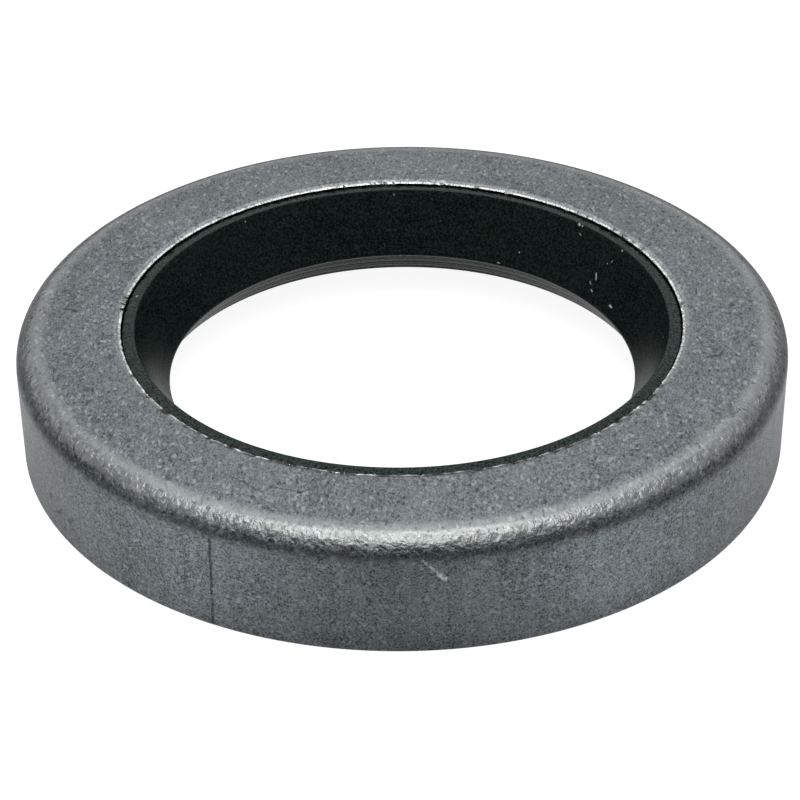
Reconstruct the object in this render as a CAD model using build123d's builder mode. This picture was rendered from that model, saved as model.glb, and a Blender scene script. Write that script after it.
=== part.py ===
from build123d import *
import os
from math import cos, radians, sin, sqrt, tan

os.makedirs("parts", exist_ok=True)

# Radial shaft seal: a bare steel case, a rubber lip moulded onto it, and a garter spring.
# Millimetres. Z is the axis of the shaft. Z = 0 is the open rim of the case, on the oil
# side, and the closed face of the case, on the air side, is on top.
# Each section is drawn in the XZ plane, as radius and height, and turned round Z.

# The three sizes that a shaft seal is ordered by
shaft_diameter = 32.0
housing_bore = 50.0
seal_width = 8.0

# Case: one cup drawn from sheet, with its floor pierced for the lip
sheet_thickness = 0.9
bend_radius = 0.6  # inside the drawn corner
corner_flats = 8  # narrow cones that the outside of the drawn corner is made of
pierced_bevel = 0.25  # edge that the punch rolls over, and the open seam beside the rubber
rim_bevel = 0.4  # outer edge of the open rim, which enters the housing first

# Sealing edge: its free size, before a shaft stretches it
lip_interference = 1.46  # on the diameter
sealing_edge_depth = 4.2  # below the closed face
contact_land = 0.15  # trimmed width of the edge
air_angle = 27.5  # air side of the edge, from the axis
oil_angle = 35.0  # oil side of the edge, from the axis

# Rubber bonded round the pierced edge, and the membrane that flexes below it
ledge_width = 0.8  # flat ring of rubber inside the pierced hole
ledge_drop = 0.15  # below the closed face
skirt_width = 2.6  # rubber under the closed face, outwards from the pierced hole
skirt_thickness = 0.8
membrane_thickness = 0.9

# Garter spring, and the lip head that holds it
coil_diameter = 1.7
coil_flats = 8  # flats that the coil's round outside and its groove are drawn with
coil_clearance = 0.02  # all round the coil, in its groove
spring_offset = 0.4  # spring's middle, from the sealing edge towards the air side
edge_to_groove = 1.38  # from the sealing edge out to the groove
shoulder_thickness = 0.3  # rubber above the groove
shoulder_setback = 0.15  # shoulder ends this far inside the spring's middle
retainer_reach = 0.5  # bead below the groove ends this far outside the spring's middle
nose_thickness = 1.37  # rubber below the groove
nose_bevel = 0.6

# Case
case_outer_r = housing_bore / 2
case_inner_r = case_outer_r - sheet_thickness
floor_z = seal_width - sheet_thickness  # underside of the closed face
bend_bevel = bend_radius * (2 - sqrt(2))  # flat that touches the inside of the bend
corner_radius = bend_radius + sheet_thickness
corner_turns = [radians(90 * step / corner_flats) for step in range(corner_flats + 1)]
drawn_corner = [
    (case_outer_r - corner_radius * (1 - cos(turn)), seal_width - corner_radius * (1 - sin(turn)))
    for turn in corner_turns
]

# Sealing edge, the two cones that meet in it, and the pierced hole round the ledge
edge_r = (shaft_diameter - lip_interference) / 2
edge_z = seal_width - sealing_edge_depth
land_top_z = edge_z + contact_land / 2
land_foot_z = edge_z - contact_land / 2
air_slope = tan(radians(air_angle))
oil_slope = tan(radians(oil_angle))
ledge_z = seal_width - ledge_drop
ledge_r = edge_r + (ledge_z - land_top_z) * air_slope
hole_r = ledge_r + ledge_width

# Spring, groove and lip head
groove_r = coil_diameter / 2 + coil_clearance
spring_r = edge_r + edge_to_groove + groove_r
spring_z = edge_z + spring_offset
shoulder_r = spring_r - shoulder_setback
shoulder_z = spring_z + groove_r + shoulder_thickness
retainer_r = spring_r + retainer_reach
retainer_z = spring_z - groove_r
nose_z = retainer_z - nose_thickness
nose_r = edge_r + (land_foot_z - nose_z) * oil_slope

# Skirt, and the spring side of the membrane, which runs level with its air side
skirt_r = hole_r + skirt_width
skirt_z = floor_z - skirt_thickness
membrane_offset = membrane_thickness / cos(radians(air_angle))
membrane_top_r = edge_r + (skirt_z - land_top_z) * air_slope + membrane_offset
membrane_foot_r = edge_r + (shoulder_z - land_top_z) * air_slope + membrane_offset


def corner_of(section, radius, height):
    return section.vertices().sort_by_distance((radius, height, 0))[0]


# Case: outer wall, drawn corner, closed face, pierced edge, inside of the cup, open rim
with BuildPart() as outer_case:
    with BuildSketch(Plane.XZ) as case_section:
        with BuildLine():
            Polyline(
                (case_outer_r, 0),
                *drawn_corner,
                (hole_r, seal_width),
                (hole_r, floor_z),
                (case_inner_r, floor_z),
                (case_inner_r, 0),
                close=True,
            )
        make_face()
        chamfer(corner_of(case_section, case_outer_r, 0), rim_bevel)
        chamfer(corner_of(case_section, hole_r, seal_width), pierced_bevel)
        chamfer(corner_of(case_section, case_inner_r, floor_z), bend_bevel)
    revolve(axis=Axis.Z)
outer_case.part.label = "outer_case"
export_step(outer_case.part, "parts/outer_case.step")

# Lip: bond to the pierced edge, skirt, membrane, shoulder, spring groove, retaining bead,
# nose, oil side, sealing edge, air side, ledge
with BuildPart() as sealing_lip:
    with BuildSketch(Plane.XZ) as lip_section:
        with BuildLine():
            Polyline(
                (hole_r, ledge_z),
                (hole_r, floor_z),
                (skirt_r, floor_z),
                (skirt_r - skirt_thickness, skirt_z),
                (membrane_top_r, skirt_z),
                (membrane_foot_r, shoulder_z),
                (shoulder_r, shoulder_z),
                (spring_r, spring_z),
                (retainer_r, retainer_z),
                (retainer_r, nose_z),
                (nose_r, nose_z),
                (edge_r, land_foot_z),
                (edge_r, land_top_z),
                (ledge_r, ledge_z),
                close=True,
            )
        make_face()
        chamfer(corner_of(lip_section, retainer_r, nose_z), nose_bevel)
        with Locations((spring_r, spring_z)):
            RegularPolygon(groove_r, side_count=coil_flats, mode=Mode.SUBTRACT)
    revolve(axis=Axis.Z)
sealing_lip.part.label = "sealing_lip"
export_step(sealing_lip.part, "parts/sealing_lip.step")

# Garter spring: the outside of its close-wound coil, which is hooked into a ring
with BuildPart() as garter_spring:
    with BuildSketch(Plane.XZ):
        with Locations((spring_r, spring_z)):
            RegularPolygon(coil_diameter / 2, side_count=coil_flats)
    revolve(axis=Axis.Z)
garter_spring.part.label = "garter_spring"
export_step(garter_spring.part, "parts/garter_spring.step")
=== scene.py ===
import bpy
from math import cos, pi, radians, sin, tan
from mathutils import Matrix, Vector


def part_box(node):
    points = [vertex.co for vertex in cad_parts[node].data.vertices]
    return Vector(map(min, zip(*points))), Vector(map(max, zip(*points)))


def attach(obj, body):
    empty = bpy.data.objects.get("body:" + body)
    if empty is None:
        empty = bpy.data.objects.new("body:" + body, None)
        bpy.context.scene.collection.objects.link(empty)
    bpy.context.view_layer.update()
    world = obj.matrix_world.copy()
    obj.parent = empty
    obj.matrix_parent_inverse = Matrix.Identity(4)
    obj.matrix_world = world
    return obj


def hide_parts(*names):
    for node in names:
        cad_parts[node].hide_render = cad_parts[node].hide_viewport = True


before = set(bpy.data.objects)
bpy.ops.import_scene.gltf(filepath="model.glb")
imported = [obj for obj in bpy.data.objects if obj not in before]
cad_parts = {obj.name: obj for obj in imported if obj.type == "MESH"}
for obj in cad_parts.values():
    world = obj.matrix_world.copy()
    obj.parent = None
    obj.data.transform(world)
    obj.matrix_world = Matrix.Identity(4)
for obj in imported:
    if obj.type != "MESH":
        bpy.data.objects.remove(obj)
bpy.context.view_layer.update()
mm = 0.001  # the scene is in metres, the sizes below are in millimetres

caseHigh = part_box("outer_case")[1]
lipLow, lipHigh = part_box("sealing_lip")
coilLow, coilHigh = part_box("garter_spring")
outerRadius = caseHigh.x / mm
sealWidth = caseHigh.z / mm
print("frame: seal of", round(2 * outerRadius, 2), "mm outside and", round(sealWidth, 2), "mm wide")


def linear(hexColour):
    channels = [int(hexColour[i:i + 2], 16) / 255 for i in (1, 3, 5)]
    return [c / 12.92 if c <= 0.04045 else ((c + 0.055) / 1.055) ** 2.4 for c in channels] + [1]


def perMetre(size):  # texture scale that gives features of this size in mm
    return 1 / (size * mm)


def addNode(tree, kind, inputs=None, **settings):
    node = tree.nodes.new(kind)
    for name, value in settings.items():
        setattr(node, name, value)
    for socket, value in (inputs or {}).items():
        if isinstance(value, bpy.types.Node):
            value = value.outputs[0]
        if isinstance(value, bpy.types.NodeSocket):
            tree.links.new(value, node.inputs[socket])
        else:
            node.inputs[socket].default_value = value
    return node


def newObject(name, data):
    made = bpy.data.objects.new(name, data)
    bpy.context.scene.collection.objects.link(made)
    return made


def newMaterial(name):
    material = bpy.data.materials.new(name)
    material.use_nodes = True
    material.node_tree.nodes.clear()
    return material


# Where a point lies on the ring, for patterns that follow the draw of the sheet or the mould.
# around is the direction from the axis, laid out on the outside of the case, so it has no seam.
# along grows up the wall, over the corner and inwards across the closed face.
def ringCoordinates(tree):
    position = addNode(tree, "ShaderNodeTexCoord").outputs["Object"]
    axes = addNode(tree, "ShaderNodeSeparateXYZ", {0: position})
    level = addNode(tree, "ShaderNodeVectorMath", {0: position, 1: (1, 1, 0)}, operation="MULTIPLY")
    radius = addNode(tree, "ShaderNodeVectorMath", {0: level}, operation="LENGTH").outputs["Value"]
    outwards = addNode(tree, "ShaderNodeVectorMath", {0: level}, operation="NORMALIZE")
    around = addNode(tree, "ShaderNodeVectorMath", {0: outwards, "Scale": outerRadius * mm},
                     operation="SCALE")
    height = axes.outputs[2]
    along = addNode(tree, "ShaderNodeMath", {0: height, 1: radius}, operation="SUBTRACT")
    return {"position": position, "radius": radius, "height": height, "around": around, "along": along}


def drawnOut(tree, ring, run, stretch):  # coordinates in which a pattern is stretched along one run
    squeezed = addNode(tree, "ShaderNodeMath", {0: run, 1: stretch}, operation="DIVIDE")
    offset = addNode(tree, "ShaderNodeCombineXYZ", {2: squeezed})
    return addNode(tree, "ShaderNodeVectorMath", {0: ring["around"], 1: offset}, operation="ADD")


def between(tree, value, low, high):  # 0 at low and 1 at high, in mm, and low may be the larger
    return addNode(tree, "ShaderNodeMapRange",
                   {"Value": value, "From Min": low * mm, "From Max": high * mm},
                   interpolation_type="SMOOTHSTEP")


def weighed(tree, middle, fields, weights):  # fields that swing about a half, each by its weight
    total = middle - 0.5 * sum(weights.values())
    for name, weight in weights.items():
        total = addNode(tree, "ShaderNodeMath", {0: fields[name], 1: weight, 2: total},
                        operation="MULTIPLY_ADD")
    return total


def layered(tree, base, layers):  # hex colours or links, each laid over those before it by its share
    colour = linear(base)
    for share, over in layers:
        over = linear(over) if isinstance(over, str) else over
        mixed = addNode(tree, "ShaderNodeMix", {0: share, 6: colour, 7: over}, data_type="RGBA")
        colour = mixed.outputs[2]
    return colour


# Round spots, one in each cell with a random number past the choice. They reach up to the given
# share of the cells' spacing.
def dotted(tree, position, spacing, channel, choice, width, **settings):
    cell = addNode(tree, "ShaderNodeTexVoronoi", {"Vector": position, "Scale": perMetre(spacing)})
    number = addNode(tree, "ShaderNodeSeparateColor", {0: cell.outputs["Color"]}).outputs[channel]
    reach = addNode(tree, "ShaderNodeMapRange", {"Value": number, "From Min": choice, "To Max": width})
    return addNode(tree, "ShaderNodeMapRange",
                   {"Value": cell.outputs["Distance"], "From Max": reach, "To Min": 1.0, "To Max": 0.0},
                   **settings)


def onRing(radius, degrees, height):
    angle = radians(degrees)
    return Vector((radius * cos(angle), radius * sin(angle), height)) * mm


# Dents and scratches are lines between two places (radius, angle, height), then the width in mm and
# the strength. A line fades from its middle to nothing at its width.
def scored(tree, place, lines):
    deepest = 0.0
    for first, last, width, strength in lines:
        start = onRing(*first)
        run = onRing(*last) - start
        offset = addNode(tree, "ShaderNodeVectorMath", {0: place, 1: start}, operation="SUBTRACT")
        reach = addNode(tree, "ShaderNodeVectorMath", {0: offset, 1: run}, operation="DOT_PRODUCT")
        share = addNode(tree, "ShaderNodeMath", {0: reach.outputs["Value"], 1: run.length_squared},
                        operation="DIVIDE", use_clamp=True)
        nearest = addNode(tree, "ShaderNodeVectorMath", {0: run, "Scale": share}, operation="SCALE")
        away = addNode(tree, "ShaderNodeVectorMath", {0: offset, 1: nearest}, operation="DISTANCE")
        depth = addNode(tree, "ShaderNodeMapRange",
                        {"Value": away.outputs["Value"], "From Max": width * mm, "To Min": strength,
                         "To Max": 0.0}, interpolation_type="SMOOTHSTEP")
        deepest = addNode(tree, "ShaderNodeMath", {0: depth, 1: deepest}, operation="MAXIMUM")
    return deepest


# Phosphated deep-drawn steel sheet: a thin grey crystal skin over metal. It gives a matt face with
# a fine grain, drawn out the way the strip was rolled, a wall that the die has rubbed smoother and
# marked along the draw, a burnished corner with short strokes and small folds, and a pierced edge
# that is bare and bright on top, with painted shade on its punched side and in its deepest chips.
steelLook = {
    "dark": "#3E4548",
    "light": "#878D90",
    "burnished": "#AAADAC",
    "rubbedWall": "#98A3A8",
    "bare": "#D8DBDA",
    "scratch": "#E2E9EC",
    # painted shade for the punched side of the hole and the deepest chips
    "paintedSeamShade": "#15191A",
    # sizes of the patterns, in mm
    "patch": 5.0,
    "cloud": 1.1,
    "grain": 0.11,  # coarser than the real crystals, so that it shows
    "speck": 0.17,  # single crystals that stand out
    "stroke": 0.24,  # on the corner
    "fold": 0.45,  # below the corner's highest line
    "drawMark": 0.7,  # on the wall
    "crumb": 0.5,  # torn out of the sheared edge
    "ding": 1.9,  # small dents
    "dingReach": 0.13,  # share of that size
    "dingChoice": 0.62,  # cells with a random number past this have a dent
    "wander": 0.5,  # bends in the scored lines
    "wanderReach": 0.6,
    "rolled": 0.55,  # spacing across the strip, as a share of the spacing along it
    "strokeStretch": 3.0,
    "foldStretch": 1.4,
    "markStretch": 30.0,
    # where the places fade in, from none to full: heights and radii in mm
    "wallTop": (6.0, 6.9),
    "cornerHeight": (7.14, 7.6),
    "cornerRadius": (22.8, 23.7),
    "foldFoot": (6.75, 7.1),
    "foldTop": (7.87, 7.72),
    "rollWidth": 0.52,  # mm that the punch has rolled over and polished
    "rollCore": 0.87,  # share of that width that is polished fully
    "bareWidth": 0.16,  # mm of bare metal at the pierced edge
    "bareFade": 0.1,
    "bareDepth": 0.18,  # mm, below which the edge is no longer bare and has painted shade
    "bareBlend": 0.06,
    "tearDepth": 0.22,  # mm that the crumbs shift that line by
    "seamShadeBlend": 0.015,
    "seamShadeReach": (0.4, 0.3),  # mm out from the hole
    # levels of a pattern that count as none and as full
    "broken": (0.35, 0.55),  # the grain, where a scored line shows
    "brightCrystals": (0.93, 1.0),
    "darkCrystals": (0.06, 0.0),
    # how much each pattern weighs in the tone, 0 dark and 1 light
    "toneMiddle": 0.45,
    "tone": {"patch": 0.42, "cloud": 0.3, "calmGrain": 1.9, "crystal": 0.3, "cornerStroke": 0.2,
             "cornerFold": 1.1, "wallMark": 0.5, "wallGrain": 0.6},
    "cornerCalm": 0.45,  # share of the grain that the corner has lost
    "sparkle": 0.75,  # added by a bright crystal
    "pitShade": 0.35,  # taken off by a dark one
    "dentDarkening": 0.45,  # taken off in dents and scratches, so that they are darker
    # share of bare metal on the wall, the rolled edge and the corner
    "wallWear": 0.5,
    "rollWear": 0.8,
    "polish": 0.26,
    "polishSwing": 0.2,
    # height in mm, and roughness
    "relief": {"calmGrain": 0.022, "cornerStroke": 0.012, "cornerFold": 0.15, "cloud": 0.04,
               "wallMark": 0.03},
    "dentDepth": 0.06,
    "wallRoughness": 0.28,
    "faceRoughness": 0.40,
    "cornerRoughness": 0.25,
    "roughSwing": {"own": 1.0, "cloud": 0.2, "grain": 0.12},
}
# Knocks and scratches picked up in the bin, on the closed face and on the wall
caseScores = [
    ((21.3, 177.4, 8), (21.9, 177.0, 8), 0.30, 1.0),
    ((19.9, 159.8, 8), (19.5, 157.2, 8), 0.16, 1.0),
    ((18.5, 187.0, 8), (18.9, 187.0, 8), 0.20, 0.9),
    ((22.0, 191.5, 8), (21.0, 193.5, 8), 0.12, 0.7),
    ((20.3, -16.2, 8), (20.9, -14.8, 8), 0.22, 1.0),
    ((19.6, -5.2, 8), (20.1, -5.0, 8), 0.14, 0.9),
    ((23.4, -31.0, 7.95), (23.9, -28.5, 7.9), 0.35, 0.8),
    ((23.0, -29.0, 8), (23.6, -31.5, 7.9), 0.25, 0.8),
    ((20.9, -119.2, 8), (21.4, -113.5, 8), 0.12, 0.8),
    ((20.9, -112.0, 8), (20.9, -106.5, 8), 0.12, 0.7),
    ((19.9, -94.0, 8), (20.8, -89.5, 8), 0.10, 0.6),
    ((22.9, -110.5, 8), (23.1, -109.0, 8), 0.16, 0.8),
    ((19.6, -79.8, 8), (19.9, -78.6, 8), 0.12, 0.8),
    ((21.0, -49.6, 8), (21.3, -48.7, 8), 0.18, 1.0),
    ((19.2, -60.0, 8), (19.6, -55.5, 8), 0.10, 0.6),
]
wallScores = [
    ((25.0, -116.8, 6.8), (25.0, -117.0, 0.3), 0.12, 1.0),
    ((25.0, -121.0, 5.0), (25.0, -121.3, 0.8), 0.10, 0.35),
    ((25.0, -84.4, 5.6), (25.0, -84.1, 1.0), 0.12, 0.3),
    ((25.0, -144.4, 2.3), (25.0, -145.2, 1.9), 0.25, 0.9),
    ((25.0, -147.6, 2.1), (25.0, -149.0, 1.6), 0.30, 0.9),
    ((25.0, -150.6, 2.5), (25.0, -151.4, 2.2), 0.22, 0.8),
]
wallScratches = [  # a fresh one, which shines
    ((25.0, -87.6, 6.6), (25.0, -84.9, 5.35), 0.12, 0.7),
    ((25.0, -85.4, 5.5), (25.0, -84.7, 5.25), 0.26, 1.0),
]


def makeSteel(look, edge):
    material = newMaterial("phosphatedDrawnSteel")
    tree = material.node_tree
    ring = ringCoordinates(tree)
    position, radius, height = ring["position"], ring["radius"], ring["height"]
    strip = addNode(tree, "ShaderNodeVectorMath", {0: position, 1: (1, look["rolled"], 1)},
                    operation="MULTIPLY")
    fields = {"height": height}
    for name, place, settings in [
        ("patch", strip, {"Detail": 4.0}),
        ("cloud", strip, {"Detail": 3.0}),
        ("grain", strip, {"Detail": 2.0, "Roughness": 0.6}),
        ("stroke", drawnOut(tree, ring, ring["along"], look["strokeStretch"]),
         {"Detail": 2.0, "Distortion": 0.4}),
        ("fold", drawnOut(tree, ring, ring["along"], look["foldStretch"]),
         {"Detail": 3.0, "Distortion": 0.3}),
        ("drawMark", drawnOut(tree, ring, height, look["markStretch"]),
         {"Detail": 4.0, "Roughness": 0.7}),
        ("crumb", position, {}),
        ("wander", position, {}),
    ]:
        fields[name] = addNode(tree, "ShaderNodeTexNoise",
                               {"Vector": place, "Scale": perMetre(look[name]), **settings})
    cell = addNode(tree, "ShaderNodeTexVoronoi", {"Vector": strip, "Scale": perMetre(look["speck"])})
    crystal = addNode(tree, "ShaderNodeSeparateColor", {0: cell.outputs["Color"]})
    fields["crystal"] = crystal
    brightCrystal, darkCrystal, broken = (
        addNode(tree, "ShaderNodeMapRange", {"Value": pattern, "From Min": none, "From Max": full})
        for pattern, (none, full) in [
            (crystal, look["brightCrystals"]),
            (crystal, look["darkCrystals"]),
            (fields["grain"], look["broken"]),
        ])
    # the closed face, the corner, its folds, the rolled edge and the bare edge
    nearTop = between(tree, height, *look["wallTop"])
    onCorner = addNode(tree, "ShaderNodeMath",
                       {0: between(tree, height, *look["cornerHeight"]),
                        1: between(tree, radius, *look["cornerRadius"])}, operation="MULTIPLY")
    folded = addNode(tree, "ShaderNodeMath",
                     {0: between(tree, height, *look["foldFoot"]),
                      1: between(tree, height, *look["foldTop"])}, operation="MULTIPLY")
    rollWidth, bareEnd = look["rollWidth"], edge + look["bareWidth"]
    onRoll = between(tree, radius, edge + rollWidth, edge + look["rollCore"] * rollWidth)
    onEdge = between(tree, radius, bareEnd + look["bareFade"], bareEnd)
    # the crumbs shift the line down to which the edge is bare
    torn = weighed(tree, 0.5, fields, {"height": 1.0, "crumb": look["tearDepth"] * mm})
    bareFoot = sealWidth - look["bareDepth"]
    onTop = between(tree, torn, bareFoot - look["bareBlend"], bareFoot)
    bared = addNode(tree, "ShaderNodeMath", {0: onEdge, 1: onTop}, operation="MULTIPLY")
    # outside its own place a pattern fades to a half, its middle
    calmed = addNode(tree, "ShaderNodeMath", {0: onCorner, 1: look["cornerCalm"]}, operation="MULTIPLY")
    for name, share, low, high in [
        ("cornerStroke", onCorner, 0.5, fields["stroke"]),
        ("cornerFold", folded, 0.5, fields["fold"]),
        ("wallMark", nearTop, fields["drawMark"], 0.5),
        ("wallGrain", nearTop, fields["grain"], 0.5),
        ("calmGrain", calmed, fields["grain"], 0.5),
    ]:
        fields[name] = addNode(tree, "ShaderNodeMix", {0: share, 2: low, 3: high})
    # small dents
    ding = dotted(tree, position, look["ding"], 0, look["dingChoice"], look["dingReach"],
                  interpolation_type="SMOOTHSTEP")
    # the scored lines of the closed face wander, and show only where the grain is strong
    offset = addNode(tree, "ShaderNodeVectorMath",
                     {0: fields["wander"].outputs["Color"], 1: (0.5, 0.5, 0.5)}, operation="SUBTRACT")
    place = addNode(tree, "ShaderNodeVectorMath",
                    {0: offset, 1: [look["wanderReach"] * mm] * 3, 2: position},
                    operation="MULTIPLY_ADD")
    faceScore = addNode(tree, "ShaderNodeMath", {0: scored(tree, place, caseScores), 1: broken},
                        operation="MULTIPLY")
    score = addNode(tree, "ShaderNodeMath", {0: faceScore, 1: scored(tree, position, wallScores)},
                    operation="MAXIMUM")
    hollow = addNode(tree, "ShaderNodeMath", {0: ding, 1: score}, operation="MAXIMUM")

    tone = weighed(tree, look["toneMiddle"], fields, look["tone"])
    sparkling = addNode(tree, "ShaderNodeMath", {0: brightCrystal, 1: look["sparkle"], 2: tone},
                        operation="MULTIPLY_ADD")
    facePits = addNode(tree, "ShaderNodeMath", {0: darkCrystal, 1: nearTop}, operation="MULTIPLY")
    pitted = addNode(tree, "ShaderNodeMath", {0: facePits, 1: -look["pitShade"], 2: sparkling},
                     operation="MULTIPLY_ADD")
    # dents and scratches are darker
    markedTone = addNode(tree, "ShaderNodeMath", {0: hollow, 1: -look["dentDarkening"], 2: pitted},
                     operation="MULTIPLY_ADD", use_clamp=True)
    # the wall is rubbed on its high places, the corner and the rolled edge nearly all over
    rubbed = addNode(tree, "ShaderNodeMath", {0: nearTop, 1: -look["wallWear"], 2: look["wallWear"]},
                     operation="MULTIPLY_ADD")
    wallWorn = addNode(tree, "ShaderNodeMath", {0: rubbed, 1: markedTone}, operation="MULTIPLY")
    rolledOver = addNode(tree, "ShaderNodeMath", {0: onRoll, 1: nearTop}, operation="MULTIPLY")
    polished = addNode(tree, "ShaderNodeMath", {0: rolledOver, 1: look["rollWear"], 2: onCorner},
                       operation="MULTIPLY_ADD")
    polishTone = addNode(tree, "ShaderNodeMath", {0: markedTone, 1: look["polishSwing"], 2: look["polish"]},
                         operation="MULTIPLY_ADD")
    worn = addNode(tree, "ShaderNodeMath", {0: polished, 1: polishTone, 2: wallWorn},
                   operation="MULTIPLY_ADD")
    metal = layered(tree, look["rubbedWall"], [(nearTop, look["burnished"])])
    scratch = addNode(tree, "ShaderNodeMath", {0: scored(tree, position, wallScratches), 1: broken},
                      operation="MULTIPLY")
    bareEdge = addNode(tree, "ShaderNodeMath", {0: bared, 1: broken}, operation="MULTIPLY")
    # painted shade: the punched side of the hole and the deepest chips are painted near black, where
    # the seam's shade falls
    seamShadeTop = between(tree, torn, bareFoot + look["seamShadeBlend"], bareFoot - look["seamShadeBlend"])
    seamShadeEnd = between(tree, radius, *(edge + reach for reach in look["seamShadeReach"]))
    paintedSeamShade = addNode(tree, "ShaderNodeMath", {0: seamShadeTop, 1: seamShadeEnd}, operation="MULTIPLY")
    colour = layered(tree, look["dark"], [
        (markedTone, look["light"]), (worn, metal), (scratch, look["scratch"]), (bareEdge, look["bare"]),
        (paintedSeamShade, look["paintedSeamShade"])])
    polishedTop = addNode(tree, "ShaderNodeMath", {0: onCorner, 1: rolledOver}, operation="MAXIMUM")
    topRoughness = addNode(tree, "ShaderNodeMix",
                           {0: polishedTop, 2: look["faceRoughness"], 3: look["cornerRoughness"]})
    fields["own"] = addNode(tree, "ShaderNodeMix",
                            {0: nearTop, 2: look["wallRoughness"], 3: topRoughness})
    roughness = weighed(tree, 0.5, fields, look["roughSwing"])
    relief = weighed(tree, 0.0, fields, look["relief"])
    sunk = addNode(tree, "ShaderNodeMath", {0: hollow, 1: -look["dentDepth"], 2: relief},
                   operation="MULTIPLY_ADD")
    bump = addNode(tree, "ShaderNodeBump", {"Distance": mm, "Height": sunk})
    shader = addNode(tree, "ShaderNodeBsdfPrincipled",
                     {"Base Color": colour, "Metallic": 1.0, "Roughness": roughness, "Normal": bump})
    addNode(tree, "ShaderNodeOutputMaterial", {"Surface": shader})
    return material


# Compression-moulded nitrile rubber: near black with a green cast and a low satin sheen. Dust sits
# on it and the mould has left fine rings. The flat ledge is painted greyer, with a grain, as painted
# sheen. The oil side is greased, so it mirrors the table at a low angle, and it is painted lighter
# in streaks, as more painted sheen.
rubberLook = {
    "dark": "#0A1211",
    "light": "#2B3A38",
    "dustAndSpots": "#F2F6F4",
    # painted sheen of the ledge's flat top
    "ledge": "#46524F",
    # painted sheen on the oil side, in streaks
    "paintedOilSheen": "#66787A",
    # sizes of the patterns, in mm
    "mottle": 1.3,
    "grain": 0.15,
    "mouldRing": 0.22,
    "oilSideRing": 0.14,
    "speck": 0.9,  # between specks of dust
    "speckReach": 0.10,  # share of that size
    "speckChoice": 0.55,  # cells with a random number past this have a speck
    # where the places fade in, from none to full, in mm
    "ledgeFoot": (-0.45, -0.35),  # from the ledge's height
    "ledgeStart": (-0.03, 0.05),  # from its inner edge
    "oilTop": (-0.1, -0.2),  # from the sealing edge's height
    "oilRadius": (17.0, 16.4),
    # levels of a pattern that count as none and as full
    "grained": (0.34, 0.68),
    "streaked": (0.46, 0.58),
    # how much each pattern weighs in the tone, the painted sheen on the oil side, the height in mm and
    # the roughness
    "toneMiddle": 0.3,
    "tone": {"mottle": 0.5, "grain": 3.2, "mouldRing": 0.4},
    "oilSheenStreaks": {"streaks": 1.1, "grained": 0.5},
    "relief": {"grain": 0.014, "mottle": 0.02, "mouldRing": 0.006, "wetRing": 0.05},
    "roughness": 0.28,
    "roughSwing": {"mottle": 0.1, "grain": 0.15},
    "greaseSmooth": 0.10,  # roughness that the grease takes off
    "ior": 1.13,  # lower than plain rubber's, for the dull skin that the mould leaves
    "greaseIor": 1.45,
}
# Light spots on the lip, from the ledge's inner edge down the air side
lipLightSpots = [
    ((17.29, 44.5, 7.76), (17.28, 44.3, 7.74), 0.13, 1.0),
    ((17.29, 43.5, 7.76), (17.28, 43.4, 7.74), 0.09, 0.8),
    ((17.03, 43.5, 7.25), (17.00, 43.0, 7.20), 0.09, 0.3),
    ((17.26, 29.5, 7.70), (17.25, 29.4, 7.68), 0.10, 0.8),
    ((16.79, 31.0, 6.80), (16.74, 31.1, 6.70), 0.08, 0.4),
    ((16.17, 34.2, 5.60), (15.99, 33.4, 5.25), 0.07, 1.0),
    ((15.83, 35.0, 4.95), (15.78, 34.5, 4.85), 0.09, 0.4),
    ((15.62, 33.5, 4.55), (15.60, 33.0, 4.50), 0.10, 0.6),
    ((15.60, 25.0, 4.50), (15.60, 24.1, 4.50), 0.11, 1.0),
    ((15.28, 63.5, 3.90), (15.28, 63.0, 3.88), 0.08, 0.6),
    ((17.18, 91.5, 7.55), (17.17, 91.4, 7.53), 0.08, 0.5),
    ((17.75, 170.5, 7.80), (17.70, 170.1, 7.80), 0.09, 0.9),
]


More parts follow.
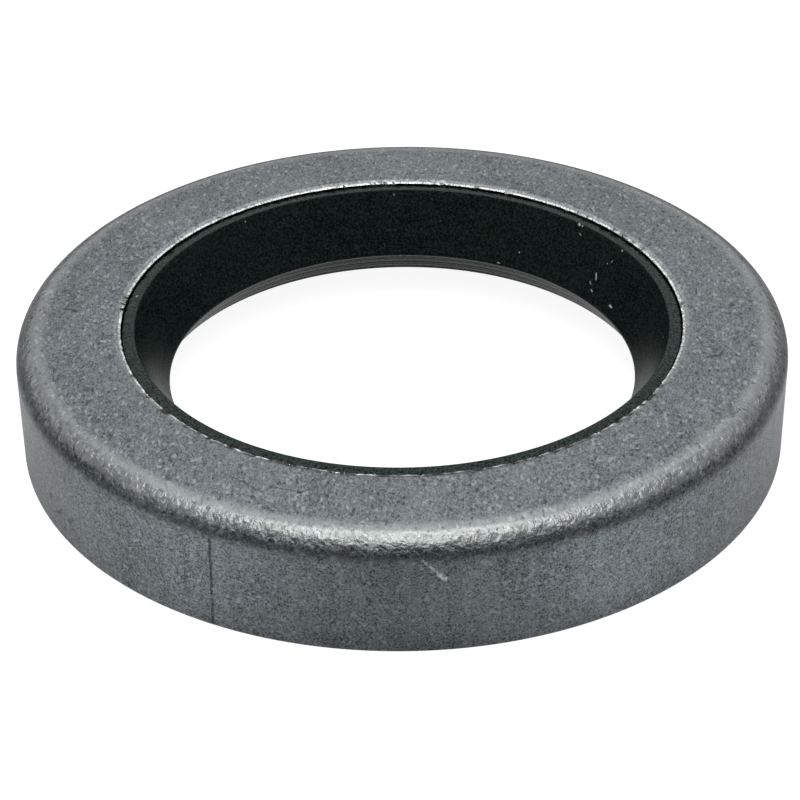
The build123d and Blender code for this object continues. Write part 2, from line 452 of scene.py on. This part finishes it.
def makeRubber(look):
    material = newMaterial("mouldedNitrileRubber")
    tree = material.node_tree
    ring = ringCoordinates(tree)
    position, radius, height = ring["position"], ring["radius"], ring["height"]
    section = addNode(tree, "ShaderNodeCombineXYZ", {0: radius, 1: height})
    fields = {}
    for name, place, detail in [("mottle", position, 3.0), ("grain", position, 2.0),
                                ("mouldRing", section, 1.0), ("oilSideRing", section, 2.0)]:
        fields[name] = addNode(tree, "ShaderNodeTexNoise",
                               {"Vector": place, "Scale": perMetre(look[name]), "Detail": detail})
    for name, pattern, (none, full) in [("grained", "grain", look["grained"]),
                                        ("streaks", "oilSideRing", look["streaked"])]:
        fields[name] = addNode(tree, "ShaderNodeMapRange",
                               {"Value": fields[pattern], "From Min": none, "From Max": full})
    speck = dotted(tree, position, look["speck"], 1, look["speckChoice"], look["speckReach"])
    dustAndSpots = addNode(tree, "ShaderNodeMath", {0: speck, 1: scored(tree, position, lipLightSpots)},
                   operation="MAXIMUM")
    onLedge = addNode(tree, "ShaderNodeMath",
                      {0: between(tree, height, *(ledgeHeight + step for step in look["ledgeFoot"])),
                       1: between(tree, radius, *(ledgeRadius + step for step in look["ledgeStart"]))},
                      operation="MULTIPLY")
    onOilSide = addNode(tree, "ShaderNodeMath",
                        {0: between(tree, height, *(lipEdgeHeight + step for step in look["oilTop"])),
                         1: between(tree, radius, *look["oilRadius"])}, operation="MULTIPLY")
    tone = weighed(tree, look["toneMiddle"], fields, look["tone"])
    # painted sheen: the flat ledge is painted greyer, with a grain, in place of the sheen of its flat
    # top
    grainyLedgeSheen = addNode(tree, "ShaderNodeMath", {0: onLedge, 1: fields["grained"]}, operation="MULTIPLY")
    streaked = weighed(tree, 0.5, fields, look["oilSheenStreaks"])
    # painted sheen: the greased oil side is painted lighter in streaks, and the same streaks raise its
    # IOR for the grease
    greaseAndPaintedSheen = addNode(tree, "ShaderNodeMath", {0: onOilSide, 1: streaked}, operation="MULTIPLY",
                       use_clamp=True)
    colour = layered(tree, look["dark"], [
        (tone, look["light"]), (grainyLedgeSheen, look["ledge"]), (greaseAndPaintedSheen, look["paintedOilSheen"]), (dustAndSpots, look["dustAndSpots"])])
    wet = addNode(tree, "ShaderNodeMath", {0: onOilSide, 1: look["greaseSmooth"]}, operation="MULTIPLY")
    dryRoughness = weighed(tree, look["roughness"], fields, look["roughSwing"])
    roughness = addNode(tree, "ShaderNodeMath", {0: dryRoughness, 1: wet}, operation="SUBTRACT")
    ior = addNode(tree, "ShaderNodeMix", {0: greaseAndPaintedSheen, 2: look["ior"], 3: look["greaseIor"]})
    fields["wetRing"] = addNode(tree, "ShaderNodeMix", {0: onOilSide, 2: 0.5, 3: fields["oilSideRing"]})
    relief = weighed(tree, 0.0, fields, look["relief"])
    bump = addNode(tree, "ShaderNodeBump", {"Distance": mm, "Height": relief})
    shader = addNode(tree, "ShaderNodeBsdfPrincipled",
                     {"Base Color": colour, "Roughness": roughness, "IOR": ior, "Normal": bump})
    addNode(tree, "ShaderNodeOutputMaterial", {"Surface": shader})
    return material


# Hard-drawn spring wire: bright steel with a thin film of oil.
wireLook = {"dark": "#77736C", "light": "#A5A19A", "streak": 0.5, "roughness": 0.32}


def makeWire(look):
    material = newMaterial("drawnSpringWire")
    tree = material.node_tree
    position = addNode(tree, "ShaderNodeTexCoord").outputs["Object"]
    streak = addNode(tree, "ShaderNodeTexNoise",
                     {"Vector": position, "Scale": perMetre(look["streak"]), "Detail": 3.0})
    colour = layered(tree, look["dark"], [(streak, look["light"])])
    shader = addNode(tree, "ShaderNodeBsdfPrincipled",
                     {"Base Color": colour, "Metallic": 1.0, "Roughness": look["roughness"]})
    addNode(tree, "ShaderNodeOutputMaterial", {"Surface": shader})
    return material


def newTree(name, wholeNumbers, numbers):  # named inputs for the sizes, and one for the material
    tree = bpy.data.node_groups.new(name, "GeometryNodeTree")
    inputs = {"Geometry": ["Geometry"], "Int": wholeNumbers, "Float": numbers, "Material": ["Material"]}
    for kind, labels in inputs.items():
        for label in labels:
            tree.interface.new_socket(label, in_out="INPUT", socket_type="NodeSocket" + kind)
    tree.interface.new_socket("Geometry", in_out="OUTPUT", socket_type="NodeSocketGeometry")
    return tree


def finishTree(tree, geometry, material):
    smooth = addNode(tree, "GeometryNodeSetShadeSmooth", {"Geometry": geometry})
    real = addNode(tree, "GeometryNodeRealizeInstances", {"Geometry": smooth})
    painted = addNode(tree, "GeometryNodeSetMaterial", {"Geometry": real, "Material": material})
    addNode(tree, "NodeGroupOutput", {"Geometry": painted})


def asPiece(carrier, tree, values, name):  # evaluates the tree on the carrier and keeps a plain mesh
    modifier = carrier.modifiers.new(tree.name, "NODES")
    modifier.node_group = tree
    for item in tree.interface.items_tree:
        if item.in_out == "INPUT" and item.name in values:
            modifier[item.identifier] = values[item.name]
    bpy.context.view_layer.update()
    evaluated = carrier.evaluated_get(bpy.context.evaluated_depsgraph_get())
    mesh = bpy.data.meshes.new_from_object(evaluated)
    mesh.name = name
    carrier.modifiers.remove(modifier)
    bpy.data.objects.remove(carrier)
    piece = newObject(name, mesh)
    print(name, len(mesh.polygons), "faces")
    return piece


# levels of the noise where a chip starts and where it is deepest
chipNoise = {"none": 0.46, "full": 0.78, "detail": 3.0, "roughness": 0.6}


# Turns a section round Z. The section is a closed curve, radius along X and height down Y, and
# each of its points carries the radius of its own round.
def makeLatheTree():
    tree = newTree("turnedSection", ["Ring Steps", "Round Steps"], [
        "Point Spacing", "Path Radius", "Crown Start", "Crown End", "Crown Drop", "Face Height",
        "Edge Radius", "Edge Height", "Edge Reach", "Chip Size", "Chip Depth", "Seed"])
    given = addNode(tree, "NodeGroupInput").outputs
    rounded = addNode(tree, "GeometryNodeFilletCurve",
                      {"Curve": given["Geometry"], "Count": given["Round Steps"],
                       "Radius": addNode(tree, "GeometryNodeInputRadius")}, mode="POLY")
    # cuts in each straight run, from its own length
    reached = addNode(tree, "GeometryNodeSplineParameter").outputs["Length"]
    following = addNode(tree, "GeometryNodeOffsetPointInCurve",
                        {"Point Index": addNode(tree, "GeometryNodeInputIndex"), "Offset": 1})
    nextReached = addNode(tree, "GeometryNodeFieldAtIndex",
                          {"Value": reached, "Index": following.outputs["Point Index"]})
    run = addNode(tree, "ShaderNodeMath", {0: nextReached, 1: reached}, operation="SUBTRACT")
    cuts = addNode(tree, "ShaderNodeMath", {0: run, 1: given["Point Spacing"]}, operation="DIVIDE")
    wholeCuts = addNode(tree, "FunctionNodeFloatToInt", {0: cuts}, rounding_mode="FLOOR")
    spaced = addNode(tree, "GeometryNodeSubdivideCurve", {"Curve": rounded, "Cuts": wholeCuts})
    # the closed face falls away a little before it meets the drawn corner
    place = addNode(tree, "ShaderNodeSeparateXYZ", {0: addNode(tree, "GeometryNodeInputPosition")})
    outShare = addNode(tree, "ShaderNodeMapRange",
                       {"Value": place, "From Min": given["Crown Start"],
                        "From Max": given["Crown End"]})
    bend = addNode(tree, "ShaderNodeMath", {0: outShare, 1: 2.0}, operation="POWER")
    drop = addNode(tree, "ShaderNodeMath", {0: bend, 1: given["Crown Drop"]}, operation="MULTIPLY")
    upShare = addNode(tree, "ShaderNodeMath", {0: place.outputs[1], 1: given["Face Height"]},
                      operation="DIVIDE")  # 0 at the open rim and -1 on top, because Y runs down
    lowering = addNode(tree, "ShaderNodeMath", {0: drop, 1: upShare}, operation="MULTIPLY")
    downwards = addNode(tree, "ShaderNodeMath", {0: lowering, 1: -1.0}, operation="MULTIPLY")
    lowered = addNode(tree, "ShaderNodeCombineXYZ", {1: downwards})
    crowned = addNode(tree, "GeometryNodeSetPosition", {"Geometry": spaced, "Offset": lowered})
    # the section is moved in by the path's radius, and carried round the path
    inward = addNode(tree, "ShaderNodeMath", {0: given["Path Radius"], 1: -1.0}, operation="MULTIPLY")
    shift = addNode(tree, "ShaderNodeCombineXYZ", {0: inward})
    profile = addNode(tree, "GeometryNodeTransform", {"Geometry": crowned, "Translation": shift})
    path = addNode(tree, "GeometryNodeCurvePrimitiveCircle",
                   {"Resolution": given["Ring Steps"], "Radius": given["Path Radius"]}, mode="RADIUS")
    upright = addNode(tree, "GeometryNodeSetCurveNormal", {"Curve": path}, mode="Z_UP")
    turned = addNode(tree, "GeometryNodeCurveToMesh", {"Curve": upright, "Profile Curve": profile})
    # chips along one edge, cut in along the surface's normal
    spot = addNode(tree, "GeometryNodeInputPosition")
    spotHeight = addNode(tree, "ShaderNodeSeparateXYZ", {0: spot}).outputs[2]
    level = addNode(tree, "ShaderNodeVectorMath", {0: spot, 1: (1, 1, 0)}, operation="MULTIPLY")
    spotRadius = addNode(tree, "ShaderNodeVectorMath", {0: level}, operation="LENGTH").outputs["Value"]
    spotSection = addNode(tree, "ShaderNodeCombineXYZ", {0: spotRadius, 1: spotHeight})
    edge = addNode(tree, "ShaderNodeCombineXYZ", {0: given["Edge Radius"], 1: given["Edge Height"]})
    away = addNode(tree, "ShaderNodeVectorMath", {0: spotSection, 1: edge}, operation="DISTANCE")
    weight = addNode(tree, "ShaderNodeMapRange",
                     {"Value": away.outputs["Value"], "From Max": given["Edge Reach"], "To Min": 1.0,
                      "To Max": 0.0}, interpolation_type="SMOOTHSTEP")
    chipScale = addNode(tree, "ShaderNodeMath", {0: 1.0, 1: given["Chip Size"]}, operation="DIVIDE")
    grain = addNode(tree, "ShaderNodeTexNoise",
                    {"Vector": spot, "W": given["Seed"], "Scale": chipScale,
                     "Detail": chipNoise["detail"], "Roughness": chipNoise["roughness"]},
                    noise_dimensions="4D")
    chip = addNode(tree, "ShaderNodeMapRange",
                   {"Value": grain, "From Min": chipNoise["none"], "From Max": chipNoise["full"]})
    amount = addNode(tree, "ShaderNodeMath", {0: chip, 1: weight}, operation="MULTIPLY")
    cut = addNode(tree, "ShaderNodeMath", {0: amount, 1: given["Chip Depth"]}, operation="MULTIPLY")
    inwards = addNode(tree, "ShaderNodeVectorMath",
                      {0: addNode(tree, "GeometryNodeInputNormal"), 1: (-1, -1, -1)},
                      operation="MULTIPLY")
    offset = addNode(tree, "ShaderNodeVectorMath", {0: inwards, "Scale": cut}, operation="SCALE")
    worn = addNode(tree, "GeometryNodeSetPosition", {"Geometry": turned, "Offset": offset})
    finishTree(tree, worn, given["Material"])
    return tree


def sectionCurve(name, corners):  # corners are (radius, height, round) in mm, anticlockwise
    curve = bpy.data.curves.new(name, "CURVE")
    curve.dimensions = "3D"
    spline = curve.splines.new("POLY")
    spline.points.add(len(corners) - 1)
    spline.use_cyclic_u = True
    for point, (radius, height, ownRound) in zip(spline.points, reversed(corners)):
        point.co = (radius * mm, -height * mm, 0, 1)
        point.radius = ownRound * mm
    return newObject(name, curve)


def turnPiece(name, corners, chippedEdge, settings):  # a whole number is a count, the rest is in mm
    radius, height = chippedEdge
    values = {"Path Radius": holeRadius, "Edge Radius": radius, "Edge Height": height, **settings}
    values = {label: value * mm if isinstance(value, float) else value
              for label, value in values.items()}
    return asPiece(sectionCurve(name + "Section", corners), latheTree, values, name)


def dress(piece, node):
    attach(piece, "root")
    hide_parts(node)


latheTree = makeLatheTree()

# Sealing lip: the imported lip's section, with the rounds that a mould leaves
lipSizes = {
    "holeRadius": 18.139,
    "faceDrop": 0.9,  # case's sheet, down to the underside that the skirt lies against
    "edgeRadius": 15.27,
    "edgeHeight": 3.8,
    "land": 0.15,
    "airAngle": 27.5,
    "oilAngle": 35.0,
    "ledgeDrop": 0.16,
    "ledgeFall": 0.11,  # from its inner edge out to the steel
    "seamDepth": 0.3,
    "seamWidth": 0.04,
    "skirt": 0.8,
    "membrane": 0.9,
    "grooveClearance": 0.02,
    "grooveTurn": (97, 300),  # degrees, from the shoulder round to the bead
    "grooveSteps": 20,
    "shoulder": 0.3,
    "shoulderSetback": 0.15,
    "retainerReach": 0.5,
    # rounds, in mm
    "ledgeRound": 0.12,
    "edgeRound": 0.03,
    "noseInnerRound": 0.2,
    "noseRound": 0.6,
    "headRound": 0.12,
    "membraneRound": 0.25,
    "rootRound": 0.5,
    "skirtRound": 0.25,
    "skirtEdgeRound": 0.05,
    "seamRound": 0.06,
    # how it is turned, and the chips on the ledge's outer edge
    "turning": {"Ring Steps": 720, "Round Steps": 6, "Point Spacing": 0.4, "Edge Reach": 0.3,
                "Chip Size": 0.4, "Chip Depth": 0.10, "Seed": 3},
}


def makeLip(size):
    air, oil = tan(radians(size["airAngle"])), tan(radians(size["oilAngle"]))
    edgeR, noseZ, skirtR = size["edgeRadius"], lipLow.z / mm, lipHigh.x / mm
    coilRadius = (coilHigh.z - coilLow.z) / 2 / mm
    coilZ = (coilHigh.z + coilLow.z) / 2 / mm
    coilR = coilHigh.x / mm - coilRadius
    groove = coilRadius + size["grooveClearance"]
    landTop, landFoot = size["edgeHeight"] + size["land"] / 2, size["edgeHeight"] - size["land"] / 2
    skirtZ = underside - size["skirt"]
    shoulderZ = coilZ + groove + size["shoulder"]
    behind = size["membrane"] / cos(radians(size["airAngle"]))
    retainerR, retainerZ = coilR + size["retainerReach"], coilZ - groove
    ledgeEdge = holeRadius - size["seamWidth"], ledgeHeight - size["ledgeFall"]
    grooveFrom, grooveTo = (radians(turn) for turn in size["grooveTurn"])
    steps = size["grooveSteps"]
    turns = [grooveFrom + (grooveTo - grooveFrom) * i / steps for i in range(steps + 1)]
    grooveArc = [(coilR + groove * cos(turn), coilZ + groove * sin(turn), 0) for turn in turns]
    corners = [
        (ledgeRadius, ledgeHeight, size["ledgeRound"]),
        (edgeR, landTop, size["edgeRound"]),
        (edgeR, landFoot, size["edgeRound"]),
        (edgeR + (landFoot - noseZ) * oil, noseZ, size["noseInnerRound"]),
        (retainerR, noseZ, size["noseRound"]),
        (retainerR, retainerZ, size["headRound"]),
        *reversed(grooveArc),
        (coilR - size["shoulderSetback"], shoulderZ, size["headRound"]),
        (edgeR + (shoulderZ - landTop) * air + behind, shoulderZ, size["membraneRound"]),
        (edgeR + (skirtZ - landTop) * air + behind, skirtZ, size["rootRound"]),
        (skirtR - size["skirt"], skirtZ, size["skirtRound"]),
        (skirtR, underside, size["skirtEdgeRound"]),
        (holeRadius, underside, 0),
        (holeRadius, ledgeHeight - size["seamDepth"], 0),
        (*ledgeEdge, size["seamRound"]),
    ]
    piece = turnPiece("mouldedLip", corners, ledgeEdge, {**size["turning"], "Material": rubber})
    dress(piece, "sealing_lip")


holeRadius = lipSizes["holeRadius"]
underside = sealWidth - lipSizes["faceDrop"]
lipEdgeHeight = lipSizes["edgeHeight"]
ledgeHeight = sealWidth - lipSizes["ledgeDrop"]
ledgeRadius = lipSizes["edgeRadius"] + (ledgeHeight - lipEdgeHeight - lipSizes["land"] / 2) * tan(
    radians(lipSizes["airAngle"]))
rubber = makeRubber(rubberLook)
makeLip(lipSizes)
print("lip moulded in", rubber.name)

# Outer case: drawn cup with a burnished corner and a pierced, rolled-over edge
caseSizes = {
    "sheet": 0.9,
    "cornerRound": 1.5,
    "bendRound": 0.6,
    "rollAngle": 14.5,  # degrees that the punch has rolled the pierced edge over
    "rollRadius": 0.50,
    "rollDrop": 0.125,
    "edgeRound": 0.03,
    "seamWidth": 0.05,  # from the bond to the free edge of the steel
    "seamDepth": 0.4,
    "rimRound": 0.15,
    "innerRimRound": 0.08,
    # how it is turned, the fall of the closed face, and the chips on the pierced edge
    "turning": {"Ring Steps": 720, "Round Steps": 10, "Point Spacing": 0.6, "Crown Start": 20.6,
                "Crown Drop": 0.19, "Edge Reach": 0.3, "Chip Size": 0.4, "Chip Depth": 0.12,
                "Seed": 1},
}


def makeCase(size):
    innerR, seamZ = outerRadius - size["sheet"], sealWidth - size["seamDepth"]
    edgeR, edgeZ = holeRadius + size["seamWidth"], sealWidth - size["rollDrop"]
    corners = [
        (outerRadius, 0, size["rimRound"]),
        (outerRadius, sealWidth, size["cornerRound"]),
        (edgeR + size["rollDrop"] / tan(radians(size["rollAngle"])), sealWidth, size["rollRadius"]),
        (edgeR, edgeZ, size["edgeRound"]),
        (edgeR, seamZ, 0),
        (holeRadius, seamZ - size["seamWidth"], 0),
        (holeRadius, underside, 0),
        (innerR, underside, size["bendRound"]),
        (innerR, 0, size["innerRimRound"]),
    ]
    piece = turnPiece("drawnCase", corners, (edgeR, edgeZ), {
        **size["turning"], "Crown End": outerRadius, "Face Height": sealWidth, "Material": steel})
    dress(piece, "outer_case")


steel = makeSteel(steelLook, holeRadius)
makeCase(caseSizes)
print("case drawn in", steel.name)

# Garter spring: wire coiled close, turn against turn, and bent round into a ring
coilSizes = {"wire": 0.33, "stepsPerTurn": 14, "wireSides": 6}


def makeCoilTree():
    tree = newTree("closeWoundCoil", ["Turns", "Steps Per Turn", "Wire Sides"],
                   ["Ring Radius", "Ring Height", "Turn Radius", "Wire Radius"])
    given = addNode(tree, "NodeGroupInput").outputs
    perTurn, turnRadius = given["Steps Per Turn"], given["Turn Radius"]
    steps = addNode(tree, "ShaderNodeMath", {0: given["Turns"], 1: perTurn}, operation="MULTIPLY")
    line = addNode(tree, "GeometryNodeCurvePrimitiveCircle",
                   {"Resolution": steps, "Radius": given["Ring Radius"]}, mode="RADIUS")
    index = addNode(tree, "GeometryNodeInputIndex")
    turnsDone = addNode(tree, "ShaderNodeMath", {0: index, 1: perTurn}, operation="DIVIDE")
    phase = addNode(tree, "ShaderNodeMath", {0: turnsDone, 1: 2 * pi}, operation="MULTIPLY")
    bearing = addNode(tree, "ShaderNodeMath", {0: phase, 1: given["Turns"]}, operation="DIVIDE")
    across = addNode(tree, "ShaderNodeMath", {0: phase}, operation="COSINE")
    upwards = addNode(tree, "ShaderNodeMath", {0: phase}, operation="SINE")
    radius = addNode(tree, "ShaderNodeMath", {0: across, 1: turnRadius, 2: given["Ring Radius"]},
                     operation="MULTIPLY_ADD")
    height = addNode(tree, "ShaderNodeMath", {0: upwards, 1: turnRadius, 2: given["Ring Height"]},
                     operation="MULTIPLY_ADD")
    start = addNode(tree, "ShaderNodeCombineXYZ", {0: radius, 2: height})
    place = addNode(tree, "ShaderNodeVectorRotate", {"Vector": start, "Angle": bearing},
                    rotation_type="Z_AXIS")
    coiled = addNode(tree, "GeometryNodeSetPosition", {"Geometry": line, "Position": place})
    girth = addNode(tree, "GeometryNodeCurvePrimitiveCircle",
                    {"Resolution": given["Wire Sides"], "Radius": given["Wire Radius"]}, mode="RADIUS")
    drawn = addNode(tree, "GeometryNodeCurveToMesh", {"Curve": coiled, "Profile Curve": girth})
    finishTree(tree, drawn, given["Material"])
    return tree


def makeCoil(size):
    coilRadius = (coilHigh.z - coilLow.z) / 2
    ringRadius = coilHigh.x - coilRadius
    wireRadius = size["wire"] / 2 * mm
    carrier = newObject("coilLine", bpy.data.curves.new("coilLine", "CURVE"))
    piece = asPiece(carrier, makeCoilTree(), {
        "Ring Radius": ringRadius,
        "Ring Height": (coilHigh.z + coilLow.z) / 2,
        "Turn Radius": coilRadius - wireRadius,
        "Wire Radius": wireRadius,
        "Turns": int(2 * pi * ringRadius / (size["wire"] * mm)),
        "Steps Per Turn": size["stepsPerTurn"],
        "Wire Sides": size["wireSides"],
        "Material": wire,
    }, "garterCoil")
    dress(piece, "garter_spring")


wire = makeWire(wireLook)
makeCoil(coilSizes)
print("spring coiled in", wire.name)

# Camera: a long lens, a little above the seal
cameraSetup = {
    "distance": 6.5 * outerRadius,  # mm, from the middle of the closed face
    "elevation": 30.98,
    "tiltDown": 1.975,  # below the line to the middle of the closed face
    "turn": 0.07,
    "roll": -0.71,
    "focalPixels": 2500.5,
    "framePixels": 800,
    "sensor": 36,  # mm across the frame
    "clipStart": 0.01,  # m
}


def placeCamera(setup):
    camera = bpy.data.cameras.new("camera")
    camera.lens = setup["focalPixels"] * setup["sensor"] / setup["framePixels"]
    camera.sensor_width = setup["sensor"]
    camera.clip_start = setup["clipStart"]
    stand = newObject("camera", camera)
    elevation = radians(setup["elevation"])
    distance = setup["distance"] * mm
    stand.location = (0, -distance * cos(elevation), sealWidth * mm + distance * sin(elevation))
    down = radians(90 - setup["elevation"] - setup["tiltDown"])
    turned = Matrix.Rotation(radians(setup["turn"]), 3, "Z") @ Matrix.Rotation(down, 3, "X")
    stand.rotation_euler = (turned @ Matrix.Rotation(radians(setup["roll"]), 3, "Z")).to_euler()
    bpy.context.scene.camera = stand


placeCamera(cameraSetup)

# Studio: pale table, white surroundings, round soft box overhead, dark card behind the camera
studio = {
    "tableColour": "#9A9A9A",
    "tableHalf": 3.0,  # m
    "tableWhite": 0.92,  # added for the camera, so that the bare table comes out white
    # light added for reflections, by the way out from the seal: -1 is straight in front
    "glow": [(-1.0, 0.31), (-0.84, 0.72), (-0.25, 0.46), (0.2, 0.40)],
    "glowFade": (35.0, 72.0),  # mm from the axis, where that light ends
    # mm from the axis where the opening's light ends and where it is full, and its strength
    "opening": (19.0, 16.5, 0.36),
    # mm from the axis where the seal's shadow is full and where it ends, and the light left in it
    "contact": (22.0, 29.5, 0.35),
    "boxColour": "#FFFBF5",
    "boxPower": 0.68,  # W
    "boxSize": 0.40,  # m
    "boxPlace": (0, -0.07, 0.35),  # m
    "fill": 0.3,  # light from the surroundings on matt surfaces
    "ceilingNarrow": (1.5, 1, 1),  # how much faster it darkens to the sides
    "ceilingFrom": (0, 0.42, 0.91),  # where the surroundings are brightest in reflections
    "ceiling": [(0.1, 0.66), (0.80, 0.96), (0.90, 1.76), (1.0, 1.42)],  # by how near to there
    "surroundRadius": 0.6,  # m
    "surroundHeight": 0.09,  # m
    "surroundColour": "#DCDEE0",
    "surroundSides": 48,
    "cardPlace": (0, -0.35, 0.09),  # m
    "cardSize": (0.9, 0.18),  # m
    "cardColour": "#6E757A",
    "mattRoughness": 0.9,
}


def plainMaterial(name, hexColour):
    material = newMaterial(name)
    shader = addNode(material.node_tree, "ShaderNodeBsdfPrincipled",
                     {"Base Color": linear(hexColour), "Roughness": studio["mattRoughness"]})
    addNode(material.node_tree, "ShaderNodeOutputMaterial", {"Surface": shader})
    return material


def stageMesh(name, corners, faces, material):
    mesh = bpy.data.meshes.new(name)
    mesh.from_pydata(corners, [], faces)
    mesh.materials.append(material)
    screen = newObject(name, mesh)
    return screen


def lightByDirection(tree, facing, steps):  # facing runs from -1 to 1, a step is (facing, light)
    share = addNode(tree, "ShaderNodeMath", {0: facing, 1: 0.5, 2: 0.5}, operation="MULTIPLY_ADD")
    ramp = addNode(tree, "ShaderNodeValToRGB", {0: share})
    stops = ramp.color_ramp.elements
    for i, (direction, light) in enumerate(steps):
        stop = stops[i] if i < 2 else stops.new((direction + 1) / 2)
        stop.position = (direction + 1) / 2
        stop.color = (light, light, light, 1)
    return ramp


def mirroredRays(tree, path):  # 1 for what metal and glass mirror
    return addNode(tree, "ShaderNodeMath",
                   {0: path.outputs["Is Glossy Ray"], 1: path.outputs["Is Transmission Ray"]},
                   operation="MAXIMUM")


def makeTable(setup):
    material = newMaterial("mattTable")
    tree = material.node_tree
    matt = addNode(tree, "ShaderNodeBsdfPrincipled",
                   {"Base Color": linear(setup["tableColour"]), "Roughness": setup["mattRoughness"]})
    path = addNode(tree, "ShaderNodeLightPath")
    mirrored = mirroredRays(tree, path)
    place = addNode(tree, "ShaderNodeTexCoord").outputs["Object"]
    wayOut = addNode(tree, "ShaderNodeVectorMath", {0: place}, operation="NORMALIZE")
    heading = addNode(tree, "ShaderNodeSeparateXYZ", {0: wayOut}).outputs[1]
    glowing = lightByDirection(tree, heading, setup["glow"])
    distance = addNode(tree, "ShaderNodeVectorMath", {0: place}, operation="LENGTH").outputs["Value"]
    fade = between(tree, distance, *reversed(setup["glowFade"]))
    fullShade, shadeEnd, darkest = setup["contact"]
    inLight = between(tree, distance, fullShade, shadeEnd)
    contact = addNode(tree, "ShaderNodeMix", {0: inLight, 2: darkest, 3: 1.0})
    faded = addNode(tree, "ShaderNodeMath", {0: glowing, 1: fade}, operation="MULTIPLY")
    outside = addNode(tree, "ShaderNodeMath", {0: faded, 1: contact}, operation="MULTIPLY")
    lightEnd, fullLight, strongest = setup["opening"]
    inOpening = between(tree, distance, lightEnd, fullLight)
    brightness = addNode(tree, "ShaderNodeMath", {0: inOpening, 1: strongest, 2: outside},
                         operation="MULTIPLY_ADD")
    glow = addNode(tree, "ShaderNodeMath", {0: mirrored, 1: brightness}, operation="MULTIPLY")
    strength = addNode(tree, "ShaderNodeMath",
                       {0: path.outputs["Is Camera Ray"], 1: setup["tableWhite"], 2: glow},
                       operation="MULTIPLY_ADD")
    white = addNode(tree, "ShaderNodeEmission", {"Strength": strength})
    lit = addNode(tree, "ShaderNodeAddShader", {0: matt, 1: white})
    addNode(tree, "ShaderNodeOutputMaterial", {"Surface": lit})
    half = setup["tableHalf"]
    stageMesh("table", [(-half, -half, 0), (half, -half, 0), (half, half, 0), (-half, half, 0)],
              [(0, 1, 2, 3)], material)


def makeScreens(setup):  # seen in the steel, and hidden from the camera
    x, y, z = setup["cardPlace"]
    w, h = (side / 2 for side in setup["cardSize"])
    card = stageMesh(
        "card", [(x - w, y, z - h), (x - w, y, z + h), (x + w, y, z + h), (x + w, y, z - h)],
        [(0, 1, 2, 3)], plainMaterial("darkCard", setup["cardColour"]))
    steps, reach = setup["surroundSides"], setup["surroundRadius"]
    turns = [2 * pi * i / steps for i in range(steps)]
    rings = [(reach * cos(turn), reach * sin(turn), level)
             for level in (0, setup["surroundHeight"]) for turn in turns]
    sides = [(i, (i + 1) % steps, steps + (i + 1) % steps, steps + i) for i in range(steps)]
    surround = stageMesh("surround", rings, sides,
                         plainMaterial("greySurround", setup["surroundColour"]))
    for screen in (card, surround):
        screen.visible_camera = False


def makeStudio(setup):
    makeTable(setup)
    makeScreens(setup)
    lamp = bpy.data.lights.new("softBox", "AREA")
    lamp.shape = "DISK"
    lamp.size = setup["boxSize"]
    lamp.energy = setup["boxPower"]
    lamp.color = linear(setup["boxColour"])[:3]
    hung = newObject("softBox", lamp)
    hung.location = setup["boxPlace"]
    hung.rotation_euler = (-Vector(setup["boxPlace"])).to_track_quat("-Z", "Y").to_euler()
    world = bpy.data.worlds.new("surroundings")
    bpy.context.scene.world = world
    world.use_nodes = True
    tree = world.node_tree
    tree.nodes.clear()
    path = addNode(tree, "ShaderNodeLightPath")
    mirrored = mirroredRays(tree, path)
    seen = addNode(tree, "ShaderNodeMath", {0: path.outputs["Is Camera Ray"], 1: mirrored},
                   operation="MAXIMUM")
    outwards = addNode(tree, "ShaderNodeTexCoord").outputs["Generated"]
    narrowed = addNode(tree, "ShaderNodeVectorMath", {0: outwards, 1: setup["ceilingNarrow"]},
                       operation="MULTIPLY")
    direction = addNode(tree, "ShaderNodeVectorMath", {0: narrowed}, operation="NORMALIZE")
    facing = addNode(tree, "ShaderNodeVectorMath", {0: direction, 1: setup["ceilingFrom"]},
                     operation="DOT_PRODUCT").outputs["Value"]
    overhead = lightByDirection(tree, facing, setup["ceiling"])
    white = addNode(tree, "ShaderNodeMix", {0: mirrored, 2: 1.0, 3: overhead})
    strength = addNode(tree, "ShaderNodeMix", {0: seen, 2: setup["fill"], 3: white})
    light = addNode(tree, "ShaderNodeBackground", {"Color": (1, 1, 1, 1), "Strength": strength})
    addNode(tree, "ShaderNodeOutputWorld", {"Surface": light})
    bpy.context.scene.view_settings.view_transform = "Standard"


makeStudio(studio)
print("camera and studio placed")
